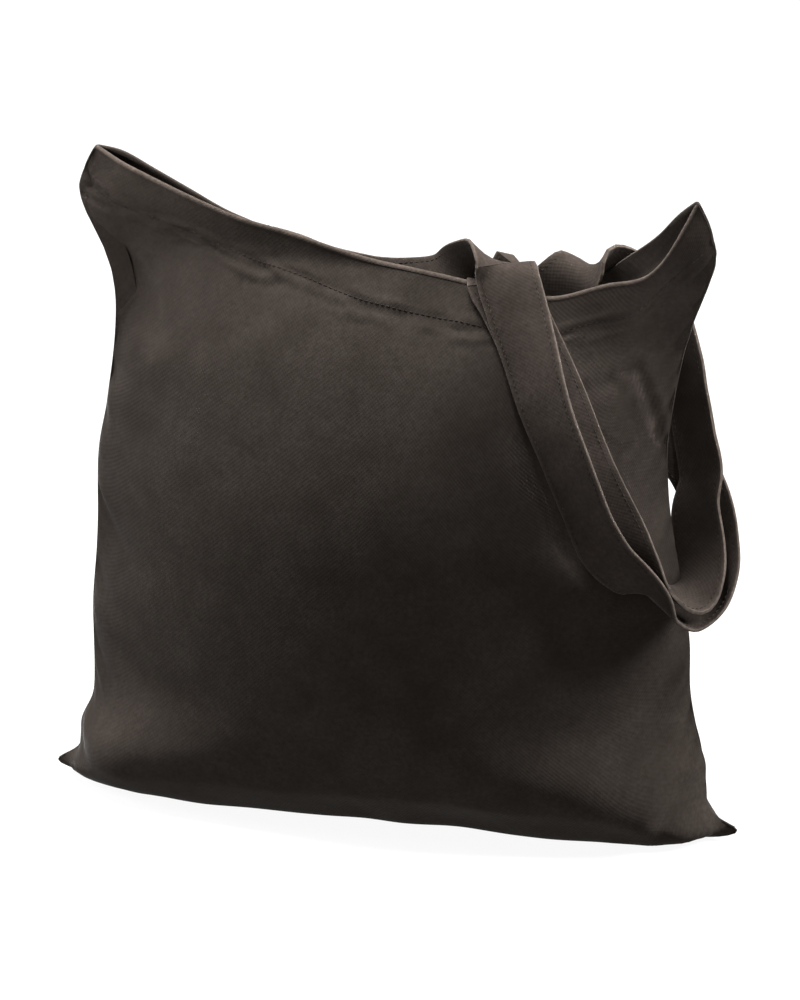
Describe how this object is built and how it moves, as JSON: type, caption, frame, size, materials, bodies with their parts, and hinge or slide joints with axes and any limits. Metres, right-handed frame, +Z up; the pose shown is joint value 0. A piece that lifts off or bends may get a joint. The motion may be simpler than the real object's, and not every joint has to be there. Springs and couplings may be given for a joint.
{
  "type": "canvas tote bag",
  "caption": "Soft open-topped canvas tote bag, filled and standing on its base, with long strap handles that swing up from one corner.",
  "frame": {"origin": "middle of the base, on the surface that the bag stands on", "axes": "+Z up, +X to the right as seen from the front, -Y to the front"},
  "size_m": [0.4172, 0.1588, 0.381],
  "materials": {
    "canvas": "matte black cotton canvas",
    "strap": "matte black folded canvas strap",
    "seam": "matte black sewn canvas edges"
  },
  "bodies": {
    "bag": {"front_panel": "canvas", "back_panel": "canvas", "front_hem": "canvas", "back_hem": "canvas", "left_side_seam": "seam", "right_side_seam": "seam", "bottom_seam": "seam", "front_handle_left_end": "strap", "front_handle_right_end": "strap", "back_handle_left_end": "strap", "back_handle_right_end": "strap"},
    "front_handle": {"front_handle": "strap"},
    "back_handle": {"back_handle": "strap"}
  },
  "joints": [
    {"name": "front_handle_swing", "type": "hinge", "parent": "bag", "child": "front_handle", "pos_m": [0.076, 0, 0.3367], "axis": [0, -1, 0], "range_deg": [0, 145]},
    {"name": "back_handle_swing", "type": "hinge", "parent": "bag", "child": "back_handle", "pos_m": [0.076, 0, 0.3367], "axis": [0, -1, 0], "range_deg": [0, 145]}
  ]
}
